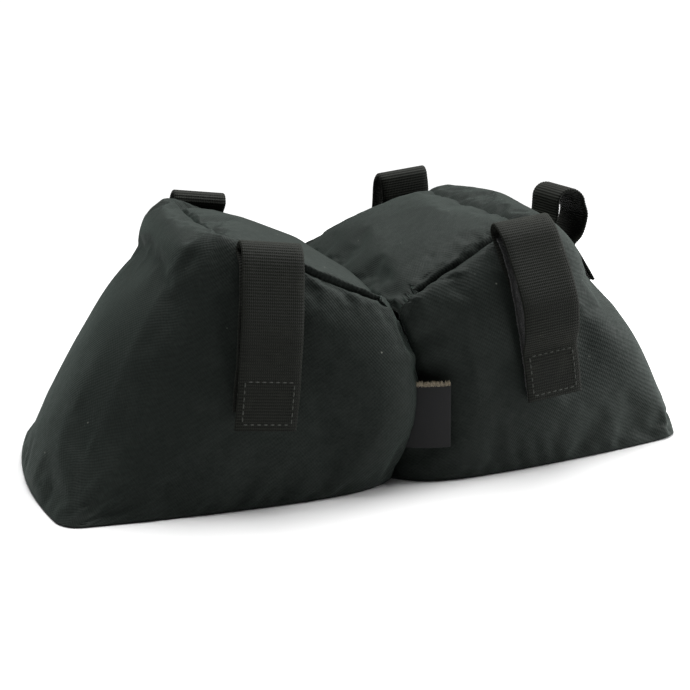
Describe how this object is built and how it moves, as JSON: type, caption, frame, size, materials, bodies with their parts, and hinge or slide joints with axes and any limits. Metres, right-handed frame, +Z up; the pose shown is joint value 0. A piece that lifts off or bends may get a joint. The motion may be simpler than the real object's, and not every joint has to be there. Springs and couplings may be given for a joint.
{
  "type": "saddle support sandbag",
  "caption": "Two-lobed black fabric saddle sandbag with a sloped rest valley and hook-and-loop webbing straps along its sides and end.",
  "frame": {"origin": "on the underside of the base panel, at the waist between the two lobes", "axes": "+X along the bag towards the lobe that carries the label and the end strap, -Y the front side that carries the label, +Z up"},
  "size_m": [0.2955, 0.1651, 0.114],
  "materials": {
    "cover_cloth": "matte coated plain-weave nylon",
    "webbing": "matte ribbed polypropylene webbing",
    "pile_tape": "brushed loop pile",
    "hook_tape": "nylon hook tape",
    "liner_cloth": "plain unbleached cloth",
    "sand": "loose dry grains",
    "zip_tape": "woven tape with nylon coil",
    "zip_metal": "dark painted zinc",
    "label_cloth": "woven damask label, left blank"
  },
  "bodies": {
    "bag": {"base_panel": "cover_cloth", "waist_divider": "liner_cloth", "left_wall": "cover_cloth", "left_saddle_panel": "cover_cloth", "left_liner": "liner_cloth", "left_sand_fill": "sand", "left_zip_tape_front": "zip_tape", "left_zip_tape_back": "zip_tape", "right_wall": "cover_cloth", "right_saddle_panel": "cover_cloth", "right_liner": "liner_cloth", "right_sand_fill": "sand", "right_zip_tape_front": "zip_tape", "right_zip_tape_back": "zip_tape", "front_left_pile_strap": "webbing", "front_left_pile_tape": "pile_tape", "front_right_pile_strap": "webbing", "front_right_pile_tape": "pile_tape", "back_left_pile_strap": "webbing", "back_left_pile_tape": "pile_tape", "back_right_pile_strap": "webbing", "back_right_pile_tape": "pile_tape", "right_end_pile_strap": "webbing", "right_end_pile_tape": "pile_tape", "side_label": "label_cloth"},
    "left_slider": {"left_zip_slider": "zip_metal"},
    "left_pull": {"left_zip_pull": "zip_metal"},
    "right_slider": {"right_zip_slider": "zip_metal"},
    "right_pull": {"right_zip_pull": "zip_metal"},
    "front_left_flap_body": {"front_left_flap": "webbing", "front_left_hook_patch": "hook_tape"},
    "front_right_flap_body": {"front_right_flap": "webbing", "front_right_hook_patch": "hook_tape"},
    "back_left_flap_body": {"back_left_flap": "webbing", "back_left_hook_patch": "hook_tape"},
    "back_right_flap_body": {"back_right_flap": "webbing", "back_right_hook_patch": "hook_tape"},
    "right_end_flap_body": {"right_end_flap": "webbing", "right_end_hook_patch": "hook_tape"}
  },
  "joints": [
    {"name": "left_zip_slide", "type": "slide", "parent": "bag", "child": "left_slider", "axis": [-1, 0, 0], "range_m": [0, 0.07]},
    {"name": "left_zip_pull_swing", "type": "hinge", "parent": "left_slider", "child": "left_pull", "pos_m": [-0.032, 0, 0.0008], "axis": [0, -1, 0], "range_deg": [0, 160]},
    {"name": "right_zip_slide", "type": "slide", "parent": "bag", "child": "right_slider", "axis": [1, 0, 0], "range_m": [0, 0.07]},
    {"name": "right_zip_pull_swing", "type": "hinge", "parent": "right_slider", "child": "right_pull", "pos_m": [0.032, 0, 0.0008], "axis": [0, 1, 0], "range_deg": [0, 160]},
    {"name": "front_left_flap_open", "type": "hinge", "parent": "bag", "child": "front_left_flap_body", "pos_m": [-0.05, -0.0605, 0.1026], "axis": [-0.9903, 0, 0.1392], "range_deg": [0, 150]},
    {"name": "front_right_flap_open", "type": "hinge", "parent": "bag", "child": "front_right_flap_body", "pos_m": [0.06, -0.0605, 0.1038], "axis": [-0.9945, 0, -0.1045], "range_deg": [0, 150]},
    {"name": "back_left_flap_open", "type": "hinge", "parent": "bag", "child": "back_left_flap_body", "pos_m": [-0.0505, 0.0605, 0.1053], "axis": [0.9903, 0, -0.1392], "range_deg": [0, 150]},
    {"name": "back_right_flap_open", "type": "hinge", "parent": "bag", "child": "back_right_flap_body", "pos_m": [0.055, 0.0605, 0.1094], "axis": [0.9945, 0, 0.1045], "range_deg": [0, 150]},
    {"name": "right_end_flap_open", "type": "hinge", "parent": "bag", "child": "right_end_flap_body", "pos_m": [0.106, -0.008, 0.104], "axis": [0, -1, 0], "range_deg": [0, 165]}
  ]
}
